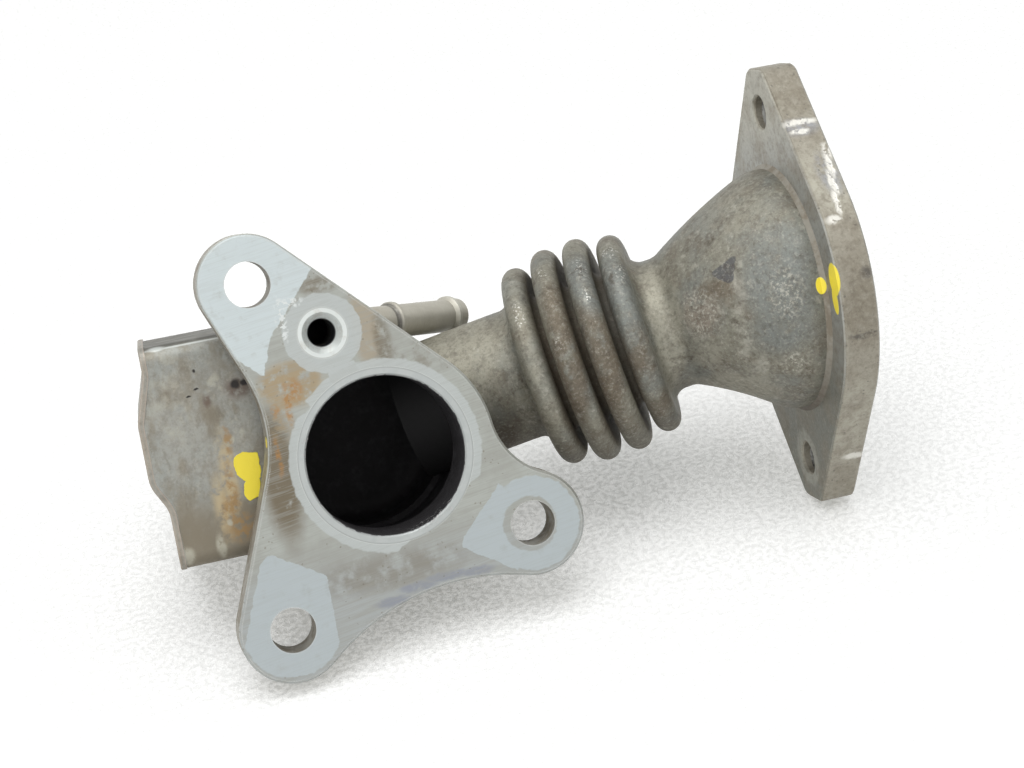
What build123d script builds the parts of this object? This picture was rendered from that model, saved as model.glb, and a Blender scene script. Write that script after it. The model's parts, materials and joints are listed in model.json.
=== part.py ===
from build123d import *
from math import acos, cos, hypot, radians, sin
import os

# Exhaust gas recirculation pipe: a valve flange on a stamped gas chamber, a bellows pipe with
# a flared end and a two-bolt exhaust flange. Millimetres.
# The pieces are drawn in the frame of the valve flange: its front face is the plane Y = 0 with
# the gas bore on the Y axis, +X runs to the exhaust flange and +Z is up the face.
# At the end the whole pipe is leaned back into the pose in which it lies on a flat floor.

# valve flange, as (X, Z) places on its face
flange_thickness = 8.0
disc_radius = 22.3
upper_lug_radius = 9.9
lug_radius = 10.6
upper_lug = (-20.3, 38.0)
right_lug = (26.5, -19.3)
lower_lug = (-24.4, -30.0)
bolt_hole_diameter = 9.0
left_waist = (-50.1, 10.3)
left_waist_radius = 28.0
bottom_waist_radius = 44.0
right_waist_radius = 15.0
flange_edge_break = 0.5

# gas outlet sleeve, brazed through the flange into the chamber
bore_diameter = 31.5
sleeve_wall = 1.75
sleeve_entry = 1.5
sleeve_mouth_break = 0.45

# coolant port and the bent tube behind it
port_place = (-7.8, 26.1)
port_bush_diameter = 10.0
port_bush_collar = 4.0
port_mouth_diameter = 8.1
port_cone_depth = 1.6
coolant_tube_diameter = 7.0
coolant_tube_wall = 0.8
coolant_tube_seat = 2.0
coolant_bend_radius = 8.0
coolant_corner_depth = 16.5
coolant_end = (27.0, 44.0, 21.9)
coolant_bead_height = 0.7
coolant_bead_width = 2.2
coolant_stop_bead_back = 21.0
coolant_lip_bead_back = 3.0

# stamped gas chamber: a deep tray with a round end under the bore, a shallow pan lapped into
# its mouth, and an end cap
sheet = 1.2
chamber_gap = 2.0
chamber_depth = 42.0
chamber_left = -43.0
chamber_shoulder = -14.0
chamber_bottom = -15.4
chamber_top = 29.2
chamber_round_radius = 21.0
chamber_corner_radius = 4.0
bend_radius = 3.0
pan_bend_radius = 5.0
pan_depth = 12.0
pan_lap = 4.0

# end cap, whose rear edge stands further in than its front edge; a pressed ridge runs across it
# from front to back, with its lower flank the steep one
end_cap_turn = 2.7
end_cap_thickness = 1.2
end_cap_overhang = 0.2
end_cap_edge_break = 0.35
ridge_height = 2.8
ridge_feet = (-3.2, 23.8)
ridge_crest = (2.2, 14.6)
ridge_blend = 6.0

# line of the bellows pipe; its stations are measured back from where it meets the exhaust
# flange's cone side, a little above the centre of the mouth
pipe_line_start = (89.9, 10.2, 17.1)
pipe_swing = 17.75
pipe_rise = 9.1
tube_radius = 14.0
tube_wall = 1.0

# straight end of the pipe, which dips a little below that line and enters the chamber
pipe_dip = 1.5
dip_run = 1.95
dip_bend_radius = 50.0
pipe_length = 23.0

# bellows with four rolls; a crest's rise is its centre's height over the centres of the roots
roll_pitch = 7.0
roll_count = 4
roll_radius = 2.7
root_radius = 1.4
end_root_radius = 3.0
crest_rise = 5.1
end_crest_rise = 3.5

# flared end of the pipe behind its neck: it swells to a hip that is turned half way towards the
# flange, runs on square to the flange and rounds over into a short rim, welded on all round
flare_station = 23.6
flare_blend = 4.0
neck_length = 2.3
hip_place = (75.0, 12.2, 15.4)
hip_radius = 18.7
shoulder_depth = 3.4
shoulder_blend = 9.0
mouth_radius = 25.2
weld_leg = 0.9

# exhaust flange: a rhombus with two threaded holes
exhaust_flange_place = (90.0, 10.1, 16.2)
exhaust_flange_thickness = 7.5
exhaust_flange_clock = 5.3
exhaust_disc_radius = 32.4
exhaust_half_length = 45.8
exhaust_end_half_width = 6.3
exhaust_corner_radius = 3.5
exhaust_hole_spacing = 73.5
thread_bore_diameter = 6.8
thread_chamfer = 0.5
exhaust_edge_break = 0.5

# pose on the floor
lean_back = 25.6
lean_side = 2.8

chamber_front = flange_thickness + chamber_gap
chamber_back = chamber_front + chamber_depth
sleeve_radius = bore_diameter / 2 + sleeve_wall
beyond = 4 * chamber_depth
last_roll_station = flare_station + neck_length + end_root_radius + roll_radius
first_roll_station = last_roll_station + roll_pitch * (roll_count - 1)
bellows_end_station = first_roll_station + roll_radius + end_root_radius
end_face = Plane(
    origin=(chamber_left, chamber_front, 0),
    x_dir=Vector(0, 1, 0).rotate(Axis.Z, -end_cap_turn),
    z_dir=Vector(1, 0, 0).rotate(Axis.Z, -end_cap_turn),
)
end_slice = Plane(end_face.origin, x_dir=end_face.z_dir, z_dir=-end_face.x_dir)
mouth_face = Plane(origin=exhaust_flange_place, x_dir=(0, 0, 1), z_dir=(-1, 0, 0))
pipe_line = Plane(
    origin=pipe_line_start,
    x_dir=(0, 0, 1),
    z_dir=Vector(-1, 0, 0).rotate(Axis.Y, -pipe_rise).rotate(Axis.Z, -pipe_swing),
)
hip_face = Plane(origin=hip_place, x_dir=(0, 0, 1), z_dir=mouth_face.z_dir + pipe_line.z_dir)


def toward(start, end, distance):
    """Point at a distance from start on the way to end."""
    length = hypot(end[0] - start[0], end[1] - start[1])
    share = distance / length
    return (start[0] + (end[0] - start[0]) * share, start[1] + (end[1] - start[1]) * share)


def middle(first, second):
    return ((first[0] + second[0]) / 2, (first[1] + second[1]) / 2)


def apex(first, first_reach, second, second_reach):
    """Third corner of the triangle on first and second, to the left of the way between them."""
    base = hypot(second[0] - first[0], second[1] - first[1])
    along = (first_reach**2 - second_reach**2 + base**2) / (2 * base)
    aside = (first_reach**2 - along**2) ** 0.5
    ux = (second[0] - first[0]) / base
    uz = (second[1] - first[1]) / base
    return (first[0] + ux * along - uz * aside, first[1] + uz * along + ux * aside)


def waist(first, first_radius, second, second_radius, radius):
    """Ends and middle of the hollow arc that touches two discs from outside."""
    centre = apex(first, first_radius + radius, second, second_radius + radius)
    start = toward(first, centre, first_radius)
    end = toward(second, centre, second_radius)
    return start, toward(centre, middle(start, end), radius), end


def outer_tangent(first, first_radius, second, second_radius):
    """Touching points of the straight edge on the left of the way from one disc to the next."""
    base = hypot(second[0] - first[0], second[1] - first[1])
    turn = acos((first_radius - second_radius) / base)
    ux = (second[0] - first[0]) / base
    uz = (second[1] - first[1]) / base
    nx = ux * cos(turn) - uz * sin(turn)
    nz = uz * cos(turn) + ux * sin(turn)
    start = (first[0] + nx * first_radius, first[1] + nz * first_radius)
    return start, (second[0] + nx * second_radius, second[1] + nz * second_radius)


def crossing(first, first_radius, second, second_radius, side):
    """Touching points of the straight line that crosses over from one disc to the next."""
    base = hypot(second[0] - first[0], second[1] - first[1])
    turn = side * acos((first_radius + second_radius) / base)
    ux = (second[0] - first[0]) / base
    uz = (second[1] - first[1]) / base
    nx = ux * cos(turn) - uz * sin(turn)
    nz = ux * sin(turn) + uz * cos(turn)
    start = (first[0] + nx * first_radius, first[1] + nz * first_radius)
    return start, (second[0] - nx * second_radius, second[1] - nz * second_radius)


def across(section, front, back):
    """Section drawn in X and Z, filled from the depth front to the depth back."""
    return extrude(Plane.XZ.offset(-front) * section, amount=front - back)


def rod(place, radius, front, back):
    return across(Pos(*place) * Circle(radius), front, back)


def valve_flange():
    left_low = crossing(lower_lug, lug_radius, left_waist, left_waist_radius, 1)
    left_high = crossing(upper_lug, upper_lug_radius, left_waist, left_waist_radius, -1)
    left_middle = (left_waist[0] + left_waist_radius, left_waist[1])
    bottom = waist(right_lug, lug_radius, lower_lug, lug_radius, bottom_waist_radius)
    right = waist((0, 0), disc_radius, right_lug, lug_radius, right_waist_radius)
    slope = outer_tangent(upper_lug, upper_lug_radius, (0, 0), disc_radius)
    outline = Curve() + [
        Line(*left_low),
        ThreePointArc(left_low[1], left_middle, left_high[1]),
        Line(left_high[1], left_high[0]),
        ThreePointArc(left_high[0], toward(upper_lug, (0, 0), -upper_lug_radius), slope[0]),
        Line(*slope),
        ThreePointArc(slope[1], toward((0, 0), middle(slope[1], right[0]), disc_radius), right[0]),
        ThreePointArc(*right),
        ThreePointArc(right[2], toward(right_lug, (0, 0), -lug_radius), bottom[0]),
        ThreePointArc(*bottom),
        ThreePointArc(bottom[2], toward(lower_lug, (0, 0), -lug_radius), left_low[0]),
    ]
    plate = across(make_face(outline), 0, flange_thickness)
    rims = plate.faces().filter_by(Axis.Y).edges()
    plate = chamfer(rims, flange_edge_break)
    for lug in (upper_lug, right_lug, lower_lug):
        plate -= rod(lug, bolt_hole_diameter / 2, 0, flange_thickness)
    plate -= rod((0, 0), sleeve_radius, 0, flange_thickness)
    return plate - rod(port_place, port_bush_diameter / 2, 0, flange_thickness)


def outlet_sleeve():
    end = chamber_front + sheet + sleeve_entry
    sleeve = rod((0, 0), sleeve_radius, 0, end) - rod((0, 0), bore_diameter / 2, 0, end)
    front_rims = sleeve.edges().filter_by(GeomType.CIRCLE).group_by(Axis.Y)[0]
    return chamfer(front_rims.sort_by(SortBy.RADIUS)[0], sleeve_mouth_break)


def coolant_port_bush():
    end = flange_thickness + port_bush_collar
    tube_bore = coolant_tube_diameter / 2 - coolant_tube_wall
    bush = rod(port_place, port_bush_diameter / 2, 0, end) - rod(port_place, tube_bore, 0, end)
    mouth = Plane.XZ * Pos(*port_place) * Circle(port_mouth_diameter / 2)
    throat = Plane.XZ.offset(-port_cone_depth) * Pos(*port_place) * Circle(tube_bore)
    bush -= loft([mouth, throat], ruled=True)
    return bush - rod(port_place, coolant_tube_diameter / 2, flange_thickness - coolant_tube_seat, end)


def coolant_tube():
    start = (port_place[0], flange_thickness - coolant_tube_seat, port_place[1])
    corner = (port_place[0], coolant_corner_depth, port_place[1])
    path = FilletPolyline(start, corner, coolant_end, radius=coolant_bend_radius)
    ring = Circle(coolant_tube_diameter / 2) - Circle(coolant_tube_diameter / 2 - coolant_tube_wall)
    tube = sweep(Plane(start, z_dir=(0, 1, 0)) * ring, path=path)
    heading = Vector(*coolant_end) - Vector(*corner)
    for back in (coolant_stop_bead_back, coolant_lip_bead_back):
        tube += coolant_bead(heading, back)
    return tube


def coolant_bead(heading, back):
    """Rolled bead on the straight end of the tube."""
    seat = Plane(Vector(*coolant_end) - heading.normalized() * back, z_dir=heading)
    outer = coolant_tube_diameter / 2
    crown = Circle(outer + coolant_bead_height)
    foot_half = coolant_bead_width / 2
    crown_half = coolant_bead_width / 6
    bead = loft([seat.offset(-foot_half) * Circle(outer), seat.offset(-crown_half) * crown], ruled=True)
    bead += extrude(seat.offset(-crown_half) * crown, amount=2 * crown_half)
    bead += loft([seat.offset(crown_half) * crown, seat.offset(foot_half) * Circle(outer)], ruled=True)
    bore = Circle(outer - coolant_tube_wall / 2)
    return bead - extrude(seat.offset(-coolant_bead_width) * bore, amount=2 * coolant_bead_width)


def chamber_section(inset):
    """Plan of the chamber in X and Z, drawn in by an inset, with room to cut its left end."""
    left = 2 * chamber_left
    right = chamber_shoulder - inset
    top = chamber_top - inset
    bottom = chamber_bottom + inset
    tall = Pos((left + right) / 2, (top + bottom) / 2) * Rectangle(right - left, top - bottom)
    low = Pos(left / 2, bottom / 2) * Rectangle(-left, -bottom)
    plan = tall + low + Circle(chamber_round_radius - inset)
    corners = plan.vertices().filter_by(lambda v: v.X > chamber_left)
    shoulder = corners.sort_by(Axis.Y)[-1]
    plan = fillet(corners.filter_by(lambda v: v.Y < shoulder.Y), chamber_corner_radius + inset)
    shoulder = plan.vertices().filter_by(lambda v: v.X > chamber_left).sort_by(Axis.Y)[-1]
    return fillet(shoulder, chamber_corner_radius - inset)


def pressed(inset, closed, open_end, bend):
    """Block with the chamber's plan and a rounded bend round its closed wall."""
    body = across(chamber_section(inset), min(closed, open_end), max(closed, open_end))
    walls = body.faces().filter_by(Axis.Y).sort_by(Axis.Y)
    wall = walls[0] if closed < open_end else walls[-1]
    return fillet(wall.edges().filter_by(lambda e: e.center().X > chamber_left), bend)


def end_block(inset):
    """Block whose left side is the outside of the end cap, drawn in by an inset."""
    outline = Polyline(
        (0, -beyond),
        (0, ridge_feet[0]),
        (-ridge_height, ridge_crest[0]),
        (-ridge_height, ridge_crest[1]),
        (0, ridge_feet[1]),
        (0, beyond),
        (beyond, beyond),
        (beyond, -beyond),
        close=True,
    )
    section = make_face(outline)
    section = fillet(section.vertices().filter_by(lambda v: abs(v.Y) < beyond / 2), ridge_blend)
    return extrude(end_slice * offset(section, -inset), amount=beyond, both=True)


def chamber_front_tray():
    mouth = chamber_back - pan_depth + pan_lap
    tray = pressed(0, chamber_front, mouth, bend_radius)
    tray -= pressed(sheet, chamber_front + sheet, mouth, bend_radius - sheet)
    tray -= rod((0, 0), sleeve_radius, chamber_front, chamber_front + sheet)
    return (tray & end_block(end_cap_thickness)) - pipe_run(tube_radius)


def chamber_back_pan():
    mouth = chamber_back - pan_depth
    pan = pressed(sheet, chamber_back, mouth, pan_bend_radius)
    pan -= pressed(2 * sheet, chamber_back - sheet, mouth, pan_bend_radius - sheet)
    return (pan & end_block(end_cap_thickness)) - pipe_run(tube_radius)


def chamber_end_cap():
    width = chamber_depth / cos(radians(end_cap_turn)) + 2 * end_cap_overhang
    height = chamber_top - chamber_bottom + 2 * end_cap_overhang
    centre = Pos(width / 2 - end_cap_overhang, (chamber_top + chamber_bottom) / 2)
    outline = centre * RectangleRounded(width, height, bend_radius)
    rim = extrude(end_face * outline, amount=2 * ridge_height, both=True)
    cap = rim & (end_block(0) - end_block(end_cap_thickness))
    outside = cap.faces().filter_by(lambda f: f.normal_at().dot(end_face.z_dir) < -0.1)
    edges = outside.edges().filter_by(lambda e: e.center().Y < chamber_front + bend_radius)
    return fillet(edges, end_cap_edge_break)


def pipe_run(radius):
    """Round bar on the straight end of the bellows pipe, from the bellows into the chamber."""
    start = pipe_line.offset(bellows_end_station)
    corner = pipe_line.offset(bellows_end_station + dip_run).origin
    heading = Vector(-1, 0, 0).rotate(Axis.Y, -pipe_rise - pipe_dip).rotate(Axis.Z, -pipe_swing)
    path = FilletPolyline(start.origin, corner, corner + heading * pipe_length, radius=dip_bend_radius)
    return sweep(start * Circle(radius), path=path)


def bellows_curve(thin):
    """Circles of the rolls and roots, each as its centre in (radius, station), its radius and
    its side: 1 for a crest, -1 for a root. The wall's thickness thin leads to its inner side."""
    root_height = tube_radius + root_radius
    end_height = tube_radius + end_root_radius
    circles = [((end_height, bellows_end_station), end_root_radius + thin, -1)]
    for index in range(roll_count):
        rise = end_crest_rise if index in (0, roll_count - 1) else crest_rise
        station = first_roll_station - index * roll_pitch
        circles.append(((root_height + rise, station), roll_radius - thin, 1))
        if index < roll_count - 1:
            circles.append(((root_height, station - roll_pitch / 2), root_radius + thin, -1))
    circles.append(((end_height, flare_station + neck_length), end_root_radius + thin, -1))
    return circles


def bellows_side(thin):
    """Profile of the bellows and its neck: arcs on those circles, joined by straight lines."""
    circles = bellows_curve(thin)
    floor_radius = tube_radius - thin
    point = (floor_radius, bellows_end_station)
    pieces = []
    for index in range(len(circles) - 1):
        centre, radius, crest = circles[index]
        following, next_radius, _ = circles[index + 1]
        start, end = crossing(centre, radius, following, next_radius, crest)
        crown = (centre[0] + crest * radius, centre[1])
        if index == 0:
            crown = toward(centre, middle(point, start), radius)
        pieces.append(ThreePointArc(point, crown, start))
        pieces.append(Line(start, end))
        point = end
    centre, radius, _ = circles[-1]
    landing = (floor_radius, centre[1])
    pieces.append(ThreePointArc(point, toward(centre, middle(point, landing), radius), landing))
    pieces.append(Line(landing, (floor_radius, flare_station)))
    return pieces


def flare(thin):
    """Flare filled solid, from the circle of the neck over the hip to the rim on the flange."""
    throat = pipe_line.offset(flare_station) * Circle(tube_radius - thin)
    hip = hip_face * Circle(hip_radius - thin)
    shoulder = mouth_face.offset(shoulder_depth) * Circle(mouth_radius - thin)
    rim = mouth_face * Circle(mouth_radius - thin)
    bell = loft([throat, hip, shoulder]) + loft([shoulder, rim], ruled=True)
    edge = bell.edges().sort_by(lambda e: abs(e.center().X - mouth_face.origin.X + shoulder_depth))[0]
    return fillet(edge, shoulder_blend - thin)


def tube_body(thin):
    """Bellows pipe filled solid: the straight end, the rolls and the flare."""
    side = bellows_side(thin)
    far_cap = Line((0, bellows_end_station), side[0] @ 0)
    near_cap = Line(side[-1] @ 1, (0, flare_station))
    spine = Line((0, flare_station), (0, bellows_end_station))
    section = make_face(Curve() + [far_cap, *side, near_cap, spine])
    half_plane = Plane(origin=pipe_line.origin, x_dir=pipe_line.x_dir, z_dir=-pipe_line.y_dir)
    rolls = revolve(half_plane * section, Axis(pipe_line.origin, pipe_line.z_dir), 360)
    body = rolls + flare(thin)
    neck = pipe_line.offset(flare_station)
    throat = min(body.edges(), key=lambda e: (e.center(CenterOf.BOUNDING_BOX) - neck.origin).length)
    return fillet(throat, flare_blend + thin) + pipe_run(tube_radius - thin)


def bellows_pipe():
    return tube_body(0) - tube_body(tube_wall)


def cone_weld():
    """Fillet bead round the rim of the flare."""
    foot = mouth_face * Circle(mouth_radius + weld_leg)
    crown = mouth_face.offset(weld_leg) * Circle(mouth_radius)
    bead = loft([foot, crown], ruled=True)
    return bead - extrude(mouth_face * Circle(mouth_radius), amount=weld_leg)


def exhaust_flange():
    upright = Plane(origin=exhaust_flange_place, x_dir=(0, 0, 1), z_dir=(1, 0, 0))
    face = upright.location * Rot(Z=exhaust_flange_clock)
    corner_length = exhaust_half_length - exhaust_corner_radius
    corner_side = exhaust_end_half_width - exhaust_corner_radius
    corners = [
        Pos(along, aside) * Circle(exhaust_corner_radius)
        for along in (-corner_length, corner_length)
        for aside in (-corner_side, corner_side)
    ]
    blank = Sketch() + [Circle(exhaust_disc_radius)] + corners
    outline = make_hull(blank.edges())
    plate = extrude(face * outline, amount=exhaust_flange_thickness)
    plate = chamfer(plate.faces().filter_by(Axis.X).edges(), exhaust_edge_break)
    plate -= extrude(face * Circle(mouth_radius - tube_wall), amount=exhaust_flange_thickness)
    for along in (-exhaust_hole_spacing / 2, exhaust_hole_spacing / 2):
        hole = face * Pos(along, 0)
        plate -= extrude(hole * Circle(thread_bore_diameter / 2), amount=exhaust_flange_thickness)
        for depth, sign in ((0, 1), (exhaust_flange_thickness, -1)):
            wide = Circle(thread_bore_diameter / 2 + thread_chamfer)
            narrow = Pos(0, 0, sign * thread_chamfer) * Circle(thread_bore_diameter / 2)
            plate -= loft([hole * Pos(0, 0, depth) * wide, hole * Pos(0, 0, depth) * narrow], ruled=True)
    return plate


pieces = {
    "valve_flange": valve_flange(),
    "gas_outlet_sleeve": outlet_sleeve(),
    "coolant_port_bush": coolant_port_bush(),
    "coolant_tube": coolant_tube(),
    "chamber_front_tray": chamber_front_tray(),
    "chamber_back_pan": chamber_back_pan(),
    "chamber_end_cap": chamber_end_cap(),
    "bellows_pipe": bellows_pipe(),
    "cone_weld": cone_weld(),
    "exhaust_flange": exhaust_flange(),
}

# lean the whole pipe back and to the side, then stand its box on the floor round the origin
leaned = {name: Rot(Y=lean_side) * Rot(X=-lean_back) * piece for name, piece in pieces.items()}
box = Compound(children=[Compound(piece.solids()) for piece in leaned.values()]).bounding_box()
on_floor = Pos(-box.center().X, -box.center().Y, -box.min.Z)

os.makedirs("parts", exist_ok=True)
for name, piece in leaned.items():
    export_step(on_floor * piece, f"parts/{name}.step")
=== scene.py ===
import bpy
import bmesh
import json
from math import radians
from mathutils import Euler, Matrix, Vector

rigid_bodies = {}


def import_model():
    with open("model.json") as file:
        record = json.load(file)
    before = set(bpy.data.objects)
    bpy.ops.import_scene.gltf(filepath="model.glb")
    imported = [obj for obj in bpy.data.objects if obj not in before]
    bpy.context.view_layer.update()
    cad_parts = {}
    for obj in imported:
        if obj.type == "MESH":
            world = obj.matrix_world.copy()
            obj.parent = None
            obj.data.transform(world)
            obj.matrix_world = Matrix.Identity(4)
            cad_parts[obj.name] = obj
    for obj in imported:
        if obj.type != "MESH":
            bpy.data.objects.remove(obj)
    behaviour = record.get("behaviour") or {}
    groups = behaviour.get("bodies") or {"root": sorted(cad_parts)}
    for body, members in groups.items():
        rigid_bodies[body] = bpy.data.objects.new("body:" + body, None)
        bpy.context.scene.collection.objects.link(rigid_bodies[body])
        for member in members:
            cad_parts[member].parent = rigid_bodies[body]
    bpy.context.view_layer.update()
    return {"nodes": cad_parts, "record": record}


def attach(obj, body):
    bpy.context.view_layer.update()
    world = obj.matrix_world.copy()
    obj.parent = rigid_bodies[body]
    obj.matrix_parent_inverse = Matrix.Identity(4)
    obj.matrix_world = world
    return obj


for leftover in list(bpy.data.objects):
    bpy.data.objects.remove(leftover)

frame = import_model()
nodes = frame["nodes"]
mounts = {mount["name"]: mount for mount in frame["record"]["mounts"]}
print("frame loaded:", len(nodes), "pieces")

# patterns are placed in the valve flange's own view, in millimetres: the gas bore's centre on the
# front face is zero, x runs to the exhaust flange, y backwards and z up the face
flangeView = {
    "leanBack": 25.6,
    "leanSide": 2.8,
    "boreMountDepth": 6,
    "millimetre": 0.001,
    "through": 99,
}
boreMount = mounts["gas_bore"]
outward = Vector(boreMount["axis"])
flangeOrigin = Vector(boreMount["pos_m"]) + outward * flangeView["boreMountDepth"] * flangeView["millimetre"]
flangeTurn = (radians(-flangeView["leanBack"]), radians(flangeView["leanSide"]), 0)
flangeMatrix = Euler(flangeTurn).to_matrix()


# a place in the valve flange's view, turned into the shared frame
def fromFlange(point):
    return flangeOrigin + flangeMatrix @ Vector(point) * flangeView["millimetre"]


# a colour as it looks on screen, 0 to 255, made the linear one that shaders take
def tone(red, green, blue):
    linear = []
    for value in (red, green, blue):
        share = value / 255
        linear.append(share / 12.92 if share <= 0.04045 else ((share + 0.055) / 1.055) ** 2.4)
    return (*linear, 1)


def feed(socket, value):
    if isinstance(value, bpy.types.NodeSocket):
        socket.id_data.links.new(value, socket)
    else:
        socket.default_value = value


def put(tree, kind, feeds=None, **settings):
    node = tree.nodes.new("ShaderNode" + kind)
    for name, value in settings.items():
        setattr(node, name, value)
    for key, value in (feeds or {}).items():
        feed(node.inputs[key], value)
    return node


# arithmetic on sockets and plain values, in the tree that the sockets belong to
def arithmetic(kind, operation, feeds):
    tree = next(value.id_data for value in feeds.values() if isinstance(value, bpy.types.NodeSocket))
    return put(tree, kind, feeds, operation=operation).outputs


def calc(operation, *values):
    return arithmetic("Math", operation, dict(enumerate(values)))[0]


def vector(operation, *values):
    return arithmetic("VectorMath", operation, dict(enumerate(values)))["Vector"]


# the one number of a dot product or a length
def measure(operation, *values):
    return arithmetic("VectorMath", operation, dict(enumerate(values)))["Value"]


def scaled(value, scale):
    return arithmetic("VectorMath", "SCALE", {0: value, "Scale": scale})["Vector"]


def axes(place):
    return put(place.id_data, "SeparateXYZ", {0: place}).outputs


def blend(mask, first, second):
    return put(mask.id_data, "Mix", {0: mask, 6: first, 7: second}, data_type="RGBA").outputs[2]


# 0 to 1 as value goes from low to high, or 1 to 0 where low is the larger
def ramp(value, low, high):
    feeds = {"Value": value, "From Min": low, "From Max": high}
    return put(value.id_data, "MapRange", feeds, interpolation_type="SMOOTHSTEP").outputs[0]


def fold(operation, masks):
    result = masks[0]
    for mask in masks[1:]:
        result = calc(operation, result, mask)
    return result


def largest(*masks):
    return fold("MAXIMUM", masks)


def product(*masks):
    return fold("MULTIPLY", masks)


def invert(mask):
    return calc("SUBTRACT", 1, mask)


# inputs are named values, outputs are named numbers or vectors
def newGroup(name, inputs, outputs=("Mask",), outputKind="Float"):
    group = bpy.data.node_groups.new(name, "ShaderNodeTree")
    for title, value in inputs.items():
        kind = "Vector" if isinstance(value, tuple) else "Float"
        socket = group.interface.new_socket(title, in_out="INPUT", socket_type="NodeSocket" + kind)
        socket.default_value = value
    for title in outputs:
        group.interface.new_socket(title, in_out="OUTPUT", socket_type="NodeSocket" + outputKind)
    return group, group.nodes.new("NodeGroupInput").outputs, group.nodes.new("NodeGroupOutput").inputs


def use(tree, group, feeds):
    node = tree.nodes.new("ShaderNodeGroup")
    node.node_tree = group
    for key, value in feeds.items():
        feed(node.inputs[key], value)
    return node.outputs


zero = (0, 0, 0)


# place on the part in the valve flange's view, straight and with a ragged wobble
def makePartPlace():
    inputs = {"Wobble": 0.5, "Wobble Size": 3}
    group, given, result = newGroup("partPlace", inputs, ("Place", "Ragged"), "Vector")
    coordinates = put(group, "TexCoord")
    place = put(group, "Mapping", {"Vector": coordinates.outputs["Object"]}, vector_type="TEXTURE")
    place.inputs["Location"].default_value = flangeOrigin
    place.inputs["Rotation"].default_value = flangeTurn
    place.inputs["Scale"].default_value = [flangeView["millimetre"]] * 3
    scale = calc("DIVIDE", 1, given["Wobble Size"])
    noise = put(group, "TexNoise", {"Vector": place.outputs[0], "Scale": scale, "Detail": 4})
    centred = vector("SUBTRACT", noise.outputs["Color"], (0.5, 0.5, 0.5))
    shift = scaled(centred, calc("MULTIPLY", given["Wobble"], 4))
    feed(result["Place"], place.outputs[0])
    feed(result["Ragged"], vector("ADD", place.outputs[0], shift))
    return group


# an ellipsoid's mask: 1 inside, 0 outside
def makeSpot():
    inputs = {"Place": zero, "Centre": zero, "Reach": (1, 1, 1), "Soft": 0.2}
    group, given, result = newGroup("spot", inputs)
    offset = vector("SUBTRACT", given["Place"], given["Centre"])
    length = measure("LENGTH", vector("DIVIDE", offset, given["Reach"]))
    outer = calc("ADD", 1, given["Soft"])
    inner = calc("SUBTRACT", 1, given["Soft"])
    feed(result["Mask"], ramp(length, outer, inner))
    return group


# cloudy patches
def makeMottle():
    inputs = {"Place": zero, "Size": 8, "Low": 0.4, "High": 0.6, "Shift": 0}
    group, given, result = newGroup("mottle", inputs)
    scale = calc("DIVIDE", 1, given["Size"])
    feeds = {"Vector": given["Place"], "W": given["Shift"], "Scale": scale, "Detail": 6, "Roughness": 0.62}
    noise = put(group, "TexNoise", feeds, noise_dimensions="4D")
    feed(result["Mask"], ramp(noise.outputs[0], given["Low"], given["High"]))
    return group


# small dots; the cover is the share of the cells that have one
def makeSpeckle():
    group, given, result = newGroup("speckle", {"Place": zero, "Size": 0.6, "Cover": 0.2})
    scale = calc("DIVIDE", 1, given["Size"])
    noise = put(group, "TexNoise", {"Vector": given["Place"], "Scale": scale, "Detail": 2})
    place = vector("ADD", given["Place"], scaled(noise.outputs["Color"], given["Size"]))
    cells = put(group, "TexVoronoi", {"Vector": place, "Scale": scale})
    chance = put(group, "SeparateColor", {0: cells.outputs["Color"]}).outputs[0]
    chosen = calc("LESS_THAN", chance, given["Cover"])
    disc = ramp(cells.outputs["Distance"], 0.5, 0.25)
    feed(result["Mask"], product(chosen, disc))
    return group


# bright metal where an edge is rubbed
def makeWornEdge():
    inputs = {"Place": zero, "Radius": 0.0006, "Patch Size": 4, "Cover": 0.5}
    group, given, result = newGroup("wornEdge", inputs)
    rounded = put(group, "Bevel", {"Radius": given["Radius"]}, samples=4)
    normal = put(group, "NewGeometry").outputs["Normal"]
    edge = ramp(measure("DOT_PRODUCT", rounded.outputs[0], normal), 0.995, 0.93)
    scale = calc("DIVIDE", 1, given["Patch Size"])
    noise = put(group, "TexNoise", {"Vector": given["Place"], "Scale": scale, "Detail": 5})
    low = calc("SUBTRACT", 1.05, given["Cover"])
    high = calc("SUBTRACT", 0.75, given["Cover"])
    patchy = ramp(noise.outputs[0], high, low)
    feed(result["Mask"], product(edge, patchy))
    return group


# darker in hollows, by ambient occlusion: painted shade, with some grime
def makeHollowShadeAndGrime():
    inputs = {"Place": zero, "Reach": 0.006, "Start": 0.75, "Full": 0.35}
    group, given, result = newGroup("hollowShadeAndGrime", inputs)
    hollow = put(group, "AmbientOcclusion", {"Distance": given["Reach"]}, samples=5, only_local=True)
    noise = put(group, "TexNoise", {"Vector": given["Place"], "Scale": 0.5, "Detail": 4})
    wavy = calc("MULTIPLY_ADD", noise.outputs[0], 0.35, -0.17)
    openness = calc("ADD", hollow.outputs["AO"], wavy)
    feed(result["Mask"], ramp(openness, given["Start"], given["Full"]))
    return group


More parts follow.
